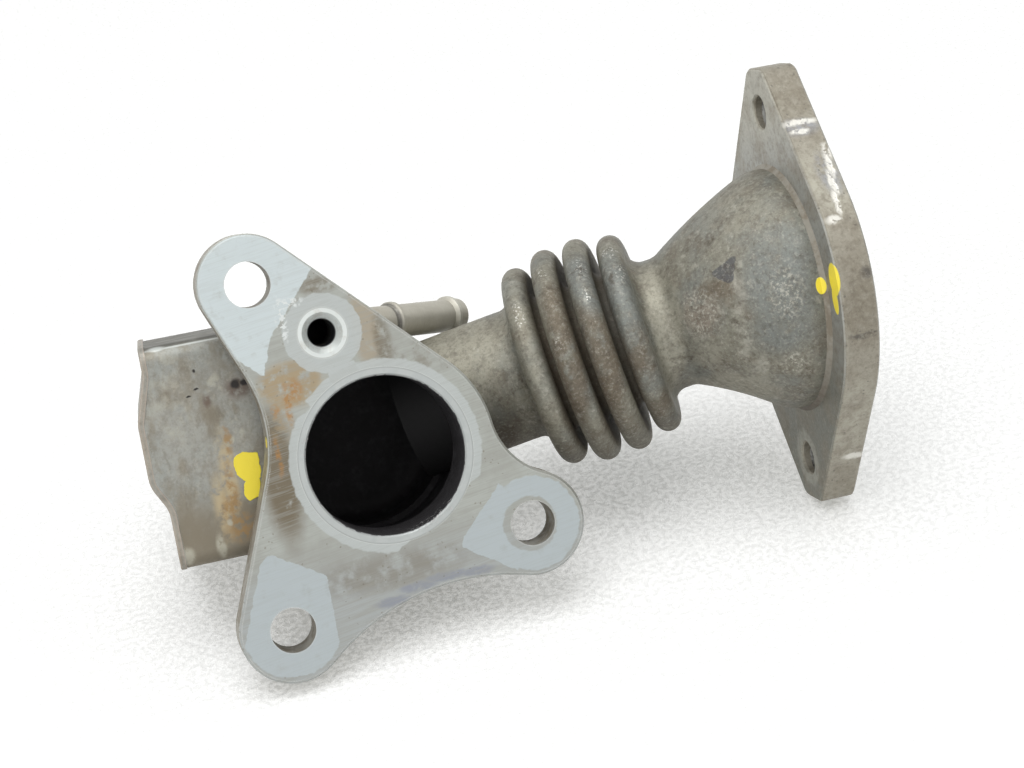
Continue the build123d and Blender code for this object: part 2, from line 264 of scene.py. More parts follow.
# fine parallel tool marks along a direction in the x-z plane
def makeToolMarks():
    inputs = {"Place": zero, "Angle": 0, "Spacing": 0.4}
    group, given, result = newGroup("toolMarks", inputs, ("Height", "Streaks"))
    feeds = {"Vector": given["Place"], "Angle": given["Angle"]}
    turned = put(group, "VectorRotate", feeds, rotation_type="Y_AXIS").outputs[0]
    lines = vector("MULTIPLY", turned, (0.035, 1, 1))
    scale = calc("DIVIDE", 1, given["Spacing"])
    fine = put(group, "TexNoise", {"Vector": lines, "Scale": scale, "Detail": 3})
    wide = calc("MULTIPLY", scale, 0.22)
    broad = put(group, "TexNoise", {"Vector": lines, "Scale": wide, "Detail": 4})
    feed(result["Height"], fine.outputs[0])
    feed(result["Streaks"], ramp(broad.outputs[0], 0.42, 0.62))
    return group


# height of the rough skin of rolled or heated steel, in millimetres
def makeSkin():
    inputs = {"Place": zero, "Coarse": 0.02, "Fine": 0.008}
    group, given, result = newGroup("steelSkin", inputs, ("Height",))
    coarse = put(group, "TexNoise", {"Vector": given["Place"], "Scale": 0.45, "Detail": 3})
    fine = put(group, "TexNoise", {"Vector": given["Place"], "Scale": 3.2, "Detail": 5, "Roughness": 0.7})
    low = calc("MULTIPLY", coarse.outputs[0], given["Coarse"])
    high = calc("MULTIPLY", fine.outputs[0], given["Fine"])
    feed(result["Height"], calc("ADD", low, high))
    return group


partPlace = makePartPlace()
spotMask = makeSpot()
mottleMask = makeMottle()
speckleMask = makeSpeckle()
wornEdge = makeWornEdge()
hollowShadeAndGrimeMask = makeHollowShadeAndGrime()
toolMarks = makeToolMarks()
steelSkin = makeSkin()
print("shared effects made")


def emptyTree(owner):
    owner.use_nodes = True
    owner.node_tree.nodes.clear()
    return owner.node_tree


def newMaterial(name, feeds=None):
    material = bpy.data.materials.new(name)
    tree = emptyTree(material)
    shader = put(tree, "BsdfPrincipled", feeds)
    put(tree, "OutputMaterial", {"Surface": shader.outputs[0]})
    return material, tree, shader


# a finish is a material of the part with its colour, roughness and metallic value so far: each coat
# lies over what is there. It comes with the straight and the ragged place on the part
def newFinish(name, wobble, wobbleSize, values, colour, roughness, metallic):
    material, tree, shader = newMaterial(name)
    place, ragged = use(tree, partPlace, {"Wobble": wobble, "Wobble Size": wobbleSize})
    finish = {"material": material, "tree": tree, "shader": shader, "place": place, "ragged": ragged}
    finish |= {"values": values, "colour": values[colour], "roughness": roughness, "metallic": metallic}
    return finish, place, ragged


def spot(place, centre, reach, soft=0.25):
    return use(place.id_data, spotMask, {"Place": place, "Centre": centre, "Reach": reach, "Soft": soft})[0]


# a spot that goes right through the part, as it is seen from the front
def ellipse(across, height, halfWidth, halfHeight, soft):
    return (across, 0, height), (halfWidth, flangeView["through"], halfHeight), soft


def spots(place, table):
    return largest(*[spot(place, *row) for row in table])


def mottle(place, size, low, high, shift=0):
    feeds = {"Place": place, "Size": size, "Low": low, "High": high, "Shift": shift}
    return use(place.id_data, mottleMask, feeds)[0]


def speckle(place, size, cover):
    return use(place.id_data, speckleMask, {"Place": place, "Size": size, "Cover": cover})[0]


def depthBand(place, front, back, soft=0.15):
    depth = axes(place)["Y"]
    behind = ramp(depth, front - soft, front + soft)
    before = ramp(depth, back + soft, back - soft)
    return product(behind, before)


# the colour is the name of one of the finish's tones, or a colour of its own
def coat(finish, mask, colour=None, roughness=None, metallic=None):
    if colour is not None:
        colour = finish["values"][colour] if isinstance(colour, str) else colour
        finish["colour"] = blend(mask, finish["colour"], colour)
    for name, value in (("roughness", roughness), ("metallic", metallic)):
        if value is not None:
            mix = put(finish["tree"], "Mix", {0: mask, 2: finish[name], 3: value}, data_type="FLOAT")
            finish[name] = mix.outputs[0]


# joins the finish to its shader; the height is in millimetres
def finishShader(finish, height):
    inputs = finish["shader"].inputs
    feed(inputs["Base Color"], finish["colour"])
    feed(inputs["Roughness"], finish["roughness"])
    feed(inputs["Metallic"], finish["metallic"])
    feeds = {"Height": height, "Distance": flangeView["millimetre"], "Strength": 1}
    feed(inputs["Normal"], put(finish["tree"], "Bump", feeds).outputs[0])
    return finish["material"]


# sum of masks, each times its own height
def heights(*pairs):
    total = None
    for value, amount in pairs:
        part = calc("MULTIPLY", value, amount)
        total = part if total is None else calc("ADD", total, part)
    return total


# 1 on the left of a line across the x-z plane, seen from the front
def beside(place, start, end, soft=0.12):
    along = Vector((end[0] - start[0], 0, end[1] - start[1])).normalized()
    left = Vector((-along.z, 0, along.x))
    reach = measure("DOT_PRODUCT", place, left)
    line = left.dot(Vector((start[0], 0, start[1])))
    return ramp(reach, line - soft, line + soft)


# 1 inside a convex patch whose corners run anticlockwise; they come out rounded
def area(place, corners, soft=0.12):
    sides = [beside(place, *pair, soft * 4) for pair in zip(corners, corners[1:] + corners[:1])]
    return ramp(product(*sides), 0.4, 0.6)


def areas(place, table):
    return largest(*[area(place, corners) for corners in table])


# 0 to 1 as the surface's direction times the given one goes from low to high
def facing(finish, direction, low, high):
    normal = put(finish["tree"], "NewGeometry").outputs["Normal"]
    return ramp(measure("DOT_PRODUCT", normal, direction), low, high)


# 1 on the inside of a tube round an axis given in the valve flange's view
def tubeInside(finish, start, direction):
    axis = (flangeMatrix @ Vector(direction)).normalized()
    place = put(finish["tree"], "TexCoord").outputs["Object"]
    offset = vector("SUBTRACT", place, fromFlange(start))
    along = scaled(axis, measure("DOT_PRODUCT", offset, axis))
    radial = vector("NORMALIZE", vector("SUBTRACT", offset, along))
    return facing(finish, radial, -0.3, -0.6)


# 1 on the inside of a box round a centre
def boxInside(finish, centre):
    place = put(finish["tree"], "TexCoord").outputs["Object"]
    outwards = vector("NORMALIZE", vector("SUBTRACT", place, fromFlange(centre)))
    return facing(finish, outwards, -0.02, -0.12)


# height of the rough steel, as coarse and as fine as the finish says
def skinHeight(finish):
    return use(finish["tree"], steelSkin, {"Place": finish["place"], **finish["values"]["skin"]})[0]


# stains: tone, strength, size and thresholds of the patches, roughness, and where they lie
def addStains(finish, rows, limit=1):
    for number, (name, strength, size, low, high, roughness, table) in enumerate(rows):
        broken = mottle(finish["place"], size, low, high, number * 1.7)
        coat(finish, product(spots(finish["ragged"], table), broken, strength, limit), name, roughness)


# clouds: tone, strength, size and thresholds of the patches, number of the pattern, roughness
def addClouds(finish, place, rows):
    for name, strength, size, low, high, pattern, roughness in rows:
        coat(finish, product(mottle(place, size, low, high, pattern), strength), name, roughness)


# grain at the size of the skin's own roughness, dark and pale by turns: size, thresholds and number
# of each pattern
grainSteps = [
    (2.1, 0.5, 0.66, 24),
    (1.5, 0.54, 0.68, 25),
    (1.1, 0.46, 0.66, 21),
    (0.55, 0.5, 0.7, 22),
    (0.4, 0.52, 0.68, 23),
]


def addGrain(finish, dark, pale, strength):
    for number, step in enumerate(grainSteps):
        coat(finish, product(mottle(finish["place"], *step), strength), (dark, pale)[number % 2])


# painted shade and grime in hollows: tone, strength, reach, openness at its start and where it is full,
# roughness and metallic
def addHollowShadeAndGrime(finish):
    name, strength, reach, start, full, roughness, metallic = finish["values"]["hollowShadeAndGrime"]
    feeds = {"Place": finish["place"], "Reach": reach, "Start": start, "Full": full}
    hollows = use(finish["tree"], hollowShadeAndGrimeMask, feeds)[0]
    coat(finish, product(hollows, strength), name, roughness, metallic)


# rubbed edges: tone, strength, radius, size of the patches, cover, roughness and metallic
def addWear(finish):
    name, strength, radius, patchSize, cover, roughness, metallic = finish["values"]["wear"]
    feeds = {"Place": finish["place"], "Radius": radius, "Patch Size": patchSize, "Cover": cover}
    edges = use(finish["tree"], wornEdge, feeds)[0]
    coat(finish, product(edges, strength), name, roughness, metallic)


# turned rings round an axis along y: their pattern, and the distance from the axis in millimetres
def turnedRings(place, centre, scale):
    offset = vector("SUBTRACT", place, (centre[0], 0, centre[1]))
    flat = vector("MULTIPLY", offset, (1, 0, 1))
    feeds = {"Vector": flat, "Scale": scale, "Distortion": 0.4}
    rings = put(place.id_data, "TexWave", feeds, wave_type="RINGS", rings_direction="Y").outputs[0]
    return rings, measure("LENGTH", flat)


yellowPaint = {"colour": tone(255, 234, 72), "roughness": 0.35, "thickness": 0.12}
blackSoot = {"colour": tone(36, 34, 36), "grey": tone(64, 63, 66), "roughness": 0.7}


def addPaint(finish, mask):
    coat(finish, mask, yellowPaint["colour"], yellowPaint["roughness"], 0)


def addSoot(finish, mask):
    coat(finish, mask, blackSoot["colour"], blackSoot["roughness"], 0)
    grey = product(mask, mottle(finish["place"], 2.6, 0.48, 0.72, 31), 0.8)
    coat(finish, grey, blackSoot["grey"])


# valve flange: milled face with the grey print of its gasket, brown rust round the ports
valveFlange = {
    "milled": tone(172, 175, 169),
    "milledDark": tone(154, 154, 147),
    # upper and lower tones of the print: painted light from above, the lower lugs in painted shade
    "printUpperLit": tone(200, 209, 210),
    "printLowerShaded": tone(177, 185, 187),
    "printRing": tone(190, 196, 195),
    "wall": tone(156, 153, 144),
    "back": tone(134, 128, 116),
    "brown": tone(114, 104, 86),
    "rustPale": tone(164, 144, 110),
    "crescent": tone(164, 154, 136),
    "orange": tone(172, 128, 74),
    "bluish": tone(138, 142, 152),
    "lowGrey": tone(164, 168, 168),
    "worn": tone(212, 214, 210),
    "scratch": tone(218, 222, 220),
    "frontDepth": (-1, 0.25, 0.12),
    "wallDepth": (0.5, 7.5, 0.1),
    "backDepth": (7.7, 9, 0.1),
    "lowGreyHeights": (-12, -24),
    "printLightHeights": (-5, 20),
    "clouds": [("milledDark", 0.5, 10, 0.42, 0.62, 0, 0.5)],
    "wear": ("worn", 0.6, 0.0004, 5, 0.5, 0.32, 0.7),
    "skin": {"Coarse": 0.02, "Fine": 0.01},
    "toolMarks": {"Angle": radians(8), "Spacing": 0.32},
    "upperPrintEdge": ((-25, 24), (-21, 20.3)),
    "upperPrintSides": [((-20.5, 20.2), (-17.8, 27.2)), ((-17.8, 27.2), (-9.1, 37))],
    "portCentre": (-7.8, 26.1),
    "portPrint": [ellipse(-7.8, 26.1, 7.8, 7.8, 0.02)],
    "neckPrint": [(-8, 16), (-1.9, 16.2), (-2.7, 19.6), (-8.3, 19.2)],
    "borePrintRadius": 19.2,
    "borePrintEnds": ((17.7, -7.6), (-2.4, -19.8)),
    "borePrintBreak": [ellipse(-15.6, 12.6, 2.6, 1.6, 0.1)],
    "lowerPrint": [
        (-34.2, -30.7), (-36.5, -38), (-16, -40), (-16, -34.8),
        (-10.4, -24.2), (-26.1, -14.4), (-28.3, -15.9),
    ],
    "lowerPrintEnd": [ellipse(-24.6, -30, 9.6, 9.4, 0.02), ellipse(-24, -20, 16, 11, 0.02)],
    "rightPrint": [(11.5, -21), (24, -29.5), (40, -29.5), (40, -8.9), (22.3, -8.9), (11.5, -19.8)],
    "rightPrintEnd": [ellipse(26.5, -19.3, 9.5, 9.5, 0.02), ellipse(14, -19.3, 11, 12, 0.02)],
    "bareRing": [ellipse(25.9, -19.3, 5.5, 5.5, 0.04)],
    "scratches": [ellipse(-15.2, 30, 1, 4.2, 0.4), ellipse(-13, 33, 2.4, 1, 0.4)],
    "stains": [
        ("brown", 0.95, 3.2, 0.22, 0.42, 0.6, [ellipse(-21.2, 0.5, 3.6, 13, 0.4)]),
        ("rustPale", 0.5, 2, 0.42, 0.58, 0.6, [ellipse(-19, 11, 2.4, 4, 0.4)]),
        ("crescent", 0.85, 2.4, 0.28, 0.5, 0.6, [ellipse(0.6, 25.5, 2.6, 8.4, 0.3)]),
        ("rustPale", 0.8, 2.2, 0.32, 0.52, 0.65, [ellipse(-15.8, 17.4, 6.2, 4.4, 0.25)]),
        ("brown", 0.7, 2.4, 0.34, 0.54, 0.6, [
            ellipse(-6.6, 35.6, 4.5, 1.5, 0.4), ellipse(3.5, 22, 1.6, 6, 0.5)
        ]),
        ("brown", 0.5, 4, 0.36, 0.56, 0.6, [ellipse(-4, -22.5, 15, 3.6, 0.5)]),
        ("brown", 0.45, 3, 0.4, 0.6, 0.6, [ellipse(9, 18, 7, 4, 0.5)]),
        ("bluish", 0.8, 3, 0.3, 0.5, 0.5, [
            ellipse(-4.2, -28.7, 3.4, 1, 0.4), ellipse(1.4, -26.9, 3.6, 0.95, 0.4),
            ellipse(7.6, -26, 4.2, 0.85, 0.4), ellipse(13.6, -26.3, 3.4, 0.85, 0.4),
        ]),
    ],
    "rust": [
        ("orange", 0.7, 1.3, 0.4, 0.56, 0.75, [
            ellipse(-17, 13.8, 0.7, 3.9, 0.5), ellipse(-15.4, 16.2, 1.6, 2, 0.5),
            ellipse(-19.7, 13, 0.8, 1.2, 0.5), ellipse(-20.8, 4, 0.6, 3.4, 0.6),
        ]),
    ],
    "paintDots": [((-22.2, 3, 6.9), (1, 1.6, 1.2), 0.06)],
}


# the gasket's print on the lugs, and its rings round the bore and the port with their turned lines
def makeGasketPrint(ragged):
    values = valveFlange
    upperSides = largest(*[beside(ragged, *line) for line in values["upperPrintSides"]])
    upper = product(beside(ragged, *values["upperPrintEdge"]), upperSides)
    lower = product(area(ragged, values["lowerPrint"]), spots(ragged, values["lowerPrintEnd"]))
    right = product(area(ragged, values["rightPrint"]), spots(ragged, values["rightPrintEnd"]))
    right = product(right, invert(spots(ragged, values["bareRing"])))
    reach = values["borePrintRadius"]
    bore = spot(ragged, *ellipse(0, 0, reach, reach, 0.012))
    gap = largest(beside(ragged, *values["borePrintEnds"]), spots(ragged, values["borePrintBreak"]))
    bore = product(bore, invert(gap))
    port = largest(spots(ragged, values["portPrint"]), area(ragged, values["neckPrint"]))
    return largest(upper, lower, right), bore, port


def makeValveFlangeFinish():
    values = valveFlange
    finish, place, ragged = newFinish("machinedFlange", 0.28, 1.6, values, "milled", 0.44, 0.6)
    front, wall, back = [depthBand(place, *values[key]) for key in ("frontDepth", "wallDepth", "backDepth")]
    height = axes(place)["Z"]
    marks = use(finish["tree"], toolMarks, {"Place": place, **values["toolMarks"]})
    addClouds(finish, place, values["clouds"])
    coat(finish, product(ramp(height, *values["lowGreyHeights"]), 0.8), "lowGrey")
    coat(finish, product(marks["Streaks"], front, 0.4), "milledDark")
    addStains(finish, values["stains"], front)
    lugs, bore, port = makeGasketPrint(ragged)
    scuffs = calc("MULTIPLY_ADD", mottle(place, 2.4, 0.28, 0.46, 4), 0.3, 0.7)
    rings = product(largest(bore, port), front, 0.85)
    coat(finish, rings, "printRing", 0.52, 0.4)
    for centre, mask in (((0, 0), bore), (values["portCentre"], port)):
        turned = turnedRings(place, centre, 1.3)[0]
        coat(finish, product(turned, mask, front, 0.3), "milledDark")
    lugs = product(lugs, scuffs, front)
    # the print turns lighter towards the top: painted light
    litUpwards = ramp(height, *values["printLightHeights"])
    coat(finish, lugs, blend(litUpwards, values["printLowerShaded"], values["printUpperLit"]), 0.58, 0.3)
    printed = largest(rings, lugs)
    bare = product(front, invert(product(printed, 0.75)))
    coat(finish, product(ramp(marks["Height"], 0.46, 0.62), bare, 0.45), "milledDark")
    addStains(finish, values["rust"], front)
    scratches = product(spots(ragged, values["scratches"]), mottle(place, 0.9, 0.48, 0.56, 8), front)
    coat(finish, scratches, "scratch", 0.3, 0.7)

    coat(finish, wall, "wall", 0.55, 0.5)
    coat(finish, product(wall, mottle(place, 4, 0.42, 0.62, 5), 0.7), "brown", 0.65)
    coat(finish, back, "back", 0.6, 0.5)
    coat(finish, product(back, mottle(place, 6, 0.4, 0.6, 6), 0.7), "brown", 0.7)
    addGrain(finish, "brown", "worn", product(invert(front), 0.2))
    addWear(finish)
    pits = product(speckle(place, 0.5, 0.04), invert(printed), 0.45)
    coat(finish, pits, "brown", 0.7, 0.3)
    paint = spots(ragged, values["paintDots"])
    addPaint(finish, paint)
    skin = skinHeight(finish)
    milledHeight = product(marks["Height"], invert(product(printed, 0.5)))
    relief = heights((milledHeight, 0.02), (skin, 1), (printed, 0.02), (paint, 0.15))
    return finishShader(finish, relief)


# gas outlet sleeve: bright turned end, black soot inside
gasSleeve = {
    "end": tone(186, 190, 188),
    "ringDark": tone(150, 153, 151),
    "dull": tone(170, 175, 174),
    "chip": tone(186, 186, 184),
    "sootRadius": 15.62,
    "clouds": [("dull", 0.5, 3, 0.4, 0.6, 1, 0.5)],
    "chips": [
        ((-14.8, 1.2, 3.6), (1.6, 2.4, 4.5), 0.4),
        ((5.5, 1.5, -14.6), (4.5, 2.6, 2.4), 0.4),
        ((9.5, 1.5, -12.6), (2.6, 2.2, 2.2), 0.4),
    ],
}


def makeGasSleeveFinish():
    values = gasSleeve
    finish, place, ragged = newFinish("gasSleeve", 0.2, 1.4, values, "end", 0.38, 0.65)
    rings, radius = turnedRings(place, (0, 0), 2.6)
    coat(finish, product(rings, 0.25), "ringDark", 0.45)
    coat(finish, product(ramp(radius, 17.15, 17.45), 0.7), "ringDark", 0.6, 0.5)
    addClouds(finish, place, values["clouds"])
    edge = calc("MULTIPLY_ADD", mottle(place, 1.6, 0.2, 0.8, 3), 0.5, values["sootRadius"])
    inside = ramp(calc("SUBTRACT", radius, edge), 0.12, -0.12)
    deep = product(depthBand(place, 0.32, 60, 0.1), ramp(radius, 16.9, 16.6))
    soot = largest(inside, deep)
    addSoot(finish, soot)
    chips = product(spots(ragged, values["chips"]), mottle(place, 0.8, 0.54, 0.6, 8))
    coat(finish, chips, "chip", 0.3, 0.7)
    flakes = mottle(place, 1.2, 0.4, 0.62, 6)
    relief = heights((rings, 0.01), (product(flakes, soot), 0.12), (chips, -0.06))
    return finishShader(finish, relief)


# coolant port bush: bright turned ring, its hole darkened with painted shade
portBush = {
    "ring": tone(222, 227, 224),
    "shade": tone(178, 182, 179),
    "rim": tone(150, 150, 146),
    "holeShade": tone(34, 34, 36),
    "limescale": tone(184, 180, 170),
    "outside": tone(146, 140, 128),
    "centre": (-7.8, 26.1),
    "clouds": [("limescale", 0.4, 1.8, 0.5, 0.65, 0, 0.5)],
}


def makePortBushFinish():
    values = portBush
    finish, place, _ = newFinish("portBush", 0.2, 1.4, values, "ring", 0.34, 0.6)
    rings, radius = turnedRings(place, values["centre"], 3.4)
    coat(finish, product(rings, 0.3), "shade", 0.4)
    coat(finish, product(ramp(radius, 4.75, 4.98), 0.6), "rim", 0.6)
    addClouds(finish, place, values["clouds"])
    # painted shade inside the hole
    hollow = product(depthBand(place, 1.45, 60, 0.15), ramp(radius, 3.3, 3))
    coat(finish, hollow, "holeShade", 0.6, 0.2)
    outer = product(depthBand(place, 8, 60, 0.1), ramp(radius, 3.6, 4))
    coat(finish, outer, "outside", 0.55)
    relief = heights((rings, 0.008), (mottle(place, 0.7, 0.3, 0.7, 2), 0.006))
    return finishShader(finish, relief)


# coolant tube: smooth drawn stainless, warm grey, dark ring at the stop bead, painted shade inside
coolantTube = {
    "steel": tone(187, 184, 172),
    "shade": tone(172, 168, 156),
    "ring": tone(92, 90, 86),
    "bright": tone(206, 205, 194),
    "brown": tone(146, 132, 108),
    # tone of the tube's inside: painted shade
    "inside": tone(70, 70, 68),
    "endPlace": (27, 44, 21.9),
    "corner": (-7.8, 16.5, 26.1),
    "darkRingBack": 22.2,
    "lipBeadBack": 3,
    "hotBack": (22, 34),
    "clouds": [("shade", 0.5, 5, 0.45, 0.65, 3, 0.5)],
}


def makeCoolantTubeFinish():
    values = coolantTube
    finish, place, _ = newFinish("coolantTube", 0.25, 2, values, "steel", 0.5, 0.45)
    heading = (Vector(values["endPlace"]) - Vector(values["corner"])).normalized()
    back = measure("DOT_PRODUCT", vector("SUBTRACT", values["endPlace"], place), heading)
    feeds = {"W": calc("MULTIPLY", back, 3), "Scale": 1, "Detail": 3}
    lines = put(finish["tree"], "TexNoise", feeds, noise_dimensions="1D").outputs[0]
    coat(finish, product(ramp(lines, 0.4, 0.66), 0.3), "shade", 0.45)
    addClouds(finish, place, values["clouds"])
    ringDistance = calc("ABSOLUTE", calc("SUBTRACT", back, values["darkRingBack"]))
    coat(finish, product(ramp(ringDistance, 0.75, 0.35), 0.85), "ring", 0.5)
    lipDistance = calc("ABSOLUTE", calc("SUBTRACT", back, values["lipBeadBack"]))
    coat(finish, product(ramp(lipDistance, 0.9, 0.3), 0.5), "bright", 0.3)
    hot = product(ramp(back, *values["hotBack"]), mottle(place, 4, 0.35, 0.6), 0.8)
    coat(finish, hot, "brown", 0.5)
    addGrain(finish, "shade", "bright", 0.2)
    # the inside of the tube darkened: painted shade
    coat(finish, tubeInside(finish, values["corner"], heading), "inside", 0.6, 0.3)
    relief = heights((lines, 0.008), (mottle(place, 0.8, 0.3, 0.7, 5), 0.006))
    return finishShader(finish, relief)


# gas chamber: heated sheet steel, mottled grey and beige with rust that ran down the front
chamberSheet = {
    "steel": tone(158, 158, 151),
    "blueGrey": tone(150, 154, 150),
    "brown": tone(132, 124, 108),
    "deepBrown": tone(106, 96, 80),
    "rust": tone(170, 138, 92),
    "rustPale": tone(194, 176, 140),
    "cream": tone(186, 183, 168),
    "black": tone(46, 42, 40),
    "halo": tone(108, 92, 82),
    "bright": tone(206, 210, 206),
    "topWall": tone(88, 87, 80),
    "insideCentre": (-25, 31, 7),
    "frontDepth": (5, 11.3, 0.4),
    "brownHeights": (3, -12),
    "hollowShadeAndGrime": ("deepBrown", 0.55, 0.006, 0.7, 0.3, 0.7, 0.3),
    "wear": ("bright", 0.5, 0.0005, 6, 0.4, 0.4, None),
    "skin": {"Coarse": 0.08, "Fine": 0.02},
    "stains": [
        ("rustPale", 0.75, 2.2, 0.38, 0.54, 0.6, [
            ((-30.2, 10, 1), (1.6, 3, 8.5), 0.6), ((-32.6, 10, -5), (1.6, 3, 6), 0.6),
        ]),
        ("brown", 0.5, 2.8, 0.38, 0.58, 0.6, [
            ((-31.7, 10, 14.8), (2, 3, 7), 0.6), ((-25.6, 10, 23.6), (4, 3, 4.4), 0.7),
        ]),
        ("brown", 0.85, 2.4, 0.34, 0.54, 0.6, [
            ((-27.6, 10, -8.6), (3.2, 3, 5.4), 0.5), ((-39, 10, -10), (5, 3, 6), 0.7),
        ]),
        ("cream", 0.6, 1.8, 0.42, 0.6, 0.5, [
            ((-29.6, 10, 19.4), (1.4, 2, 2.4), 0.5), ((-26.6, 10, 10.9), (1, 2, 2.8), 0.5),
        ]),
        ("cream", 0.4, 3.2, 0.46, 0.64, 0.5, [((-38.6, 10, 19), (4, 2, 9), 0.7)]),
        ("halo", 0.8, 1.4, 0.3, 0.52, 0.6, [
            ((-25.2, 10, 18.2), (2.6, 2, 2), 0.5), ((-31.7, 10, 16.8), (0.7, 2, 1.2), 0.6),
        ]),
        ("rust", 0.75, 1.3, 0.4, 0.56, 0.8, [
            ((-30.1, 10, -1.6), (0.9, 2, 5.2), 0.6), ((-31.2, 10, -5.4), (1.3, 2, 3), 0.6),
            ((-29.1, 10, 8), (0.8, 2, 2.6), 0.6), ((-29.6, 10, -9.2), (2.6, 2, 2.6), 0.6),
        ]),
        ("cream", 0.8, 1, 0.3, 0.5, 0.7, [
            ((-41.5, 10, -12.9), (1.8, 2.4, 1.8), 0.35), ((-34.3, 10, -12.4), (0.9, 2, 2.6), 0.5),
            ((-31.8, 10, -7.9), (0.5, 2, 0.7), 0.5), ((-28.2, 10, 8.1), (0.5, 2, 0.8), 0.5),
        ]),
    ],
    "blackStains": [
        ((-25.5, 10, 19), (0.95, 2, 1), 0.4), ((-23.6, 10, 18.9), (0.8, 2, 0.7), 0.4),
        ((-33.2, 10, 23), (0.35, 2, 0.3), 0.4), ((-33.2, 10, 19.4), (0.45, 2, 0.22), 0.4),
        ((-34.9, 10, 18.3), (0.45, 2, 0.25), 0.4),
    ],
    "paintBlob": [
        [
            (-28.6, 4.7), (-29, 2.7), (-28.2, 0.5), (-27.4, -0.7),
            (-24.2, -0.7), (-23.6, 2.1), (-23.8, 4.9), (-27.2, 5.4),
        ],
        [(-27.4, -0.5), (-28.1, -3.1), (-27.1, -4.6), (-24.9, -3.7), (-24.2, -0.5)],
    ],
    # a bright line along the top bend: painted highlight
    "paintedBendHighlight": [((-39.4, 11, 28.6), (1.6, 2.5, 0.4), 0.5), ((-34, 11, 28.5), (8, 2.5, 0.15), 0.6)],
}


# sheet steel that has been hot: cloudy tints drawn out downwards, and fine grain
def addHeatTint(finish, pattern):
    place = finish["place"]
    drawn = vector("MULTIPLY", place, (1, 1, 0.45))
    addClouds(finish, place, [("blueGrey", 0.65, 11, 0.4, 0.62, pattern, 0.48)])
    addClouds(finish, drawn, [
        ("brown", 0.7, 5, 0.46, 0.64, pattern + 1, 0.58),
        ("deepBrown", 0.35, 2.4, 0.54, 0.66, pattern + 2, 0.6),
    ])
    addGrain(finish, "deepBrown", "cream", 0.22)


def makeChamberFinish():
    values = chamberSheet
    finish, place, ragged = newFinish("chamberSheet", 0.3, 2, values, "steel", 0.5, 0.5)
    frontWall = depthBand(place, *values["frontDepth"])
    addHeatTint(finish, 1)
    coat(finish, product(ramp(axes(place)["Z"], *values["brownHeights"]), 0.9), "brown", 0.6)
    addStains(finish, values["stains"], frontWall)
    coat(finish, spots(ragged, values["blackStains"]), "black", 0.6, 0.2)
    topStain = calc("MULTIPLY_ADD", mottle(place, 5, 0.4, 0.6, 9), 0.3, 0.65)
    topWall = facing(finish, flangeMatrix @ Vector((0, 0, 1)), 0.7, 0.95)
    coat(finish, product(topWall, topStain), "topWall", 0.55)
    # painted highlight along the top bend
    coat(finish, product(spots(place, values["paintedBendHighlight"]), 0.8), "bright", 0.3, 0.7)
    # painted shade and grime in hollows
    addHollowShadeAndGrime(finish)
    addWear(finish)
    paint = product(areas(ragged, values["paintBlob"]), frontWall)
    addPaint(finish, paint)
    addSoot(finish, boxInside(finish, values["insideCentre"]))
    skin = skinHeight(finish)
    return finishShader(finish, heights((skin, 1), (paint, yellowPaint["thickness"])))


# end cap: the same sheet, browner, with a narrow pale rim: rubbed wear and a painted highlight on its
# rounded edge
endCap = {
    "steel": tone(158, 152, 141),
    "blueGrey": tone(146, 148, 143),
    "brown": tone(132, 120, 103),
    "deepBrown": tone(98, 88, 74),
    "cream": tone(184, 178, 163),
    "rim": tone(180, 166, 152),
    "inside": (1, 0, 0),
    "hollowShadeAndGrime": ("deepBrown", 0.6, 0.005, 0.7, 0.3, 0.7, 0.4),
    # the pale rim along the edges: rubbed wear and painted highlight
    "wear": ("rim", 0.7, 0.0006, 6, 0.6, 0.45, None),
    "skin": {"Coarse": 0.08, "Fine": 0.02},
}


def makeEndCapFinish():
    values = endCap
    finish = newFinish("endCap", 0.3, 2, values, "steel", 0.5, 0.5)[0]
    addHeatTint(finish, 11)
    # painted shade and grime in hollows
    addHollowShadeAndGrime(finish)
    # rubbed wear and painted highlight on the rim
    addWear(finish)
    addSoot(finish, facing(finish, flangeMatrix @ Vector(values["inside"]), 0.4, 0.6))
    return finishShader(finish, skinHeight(finish))
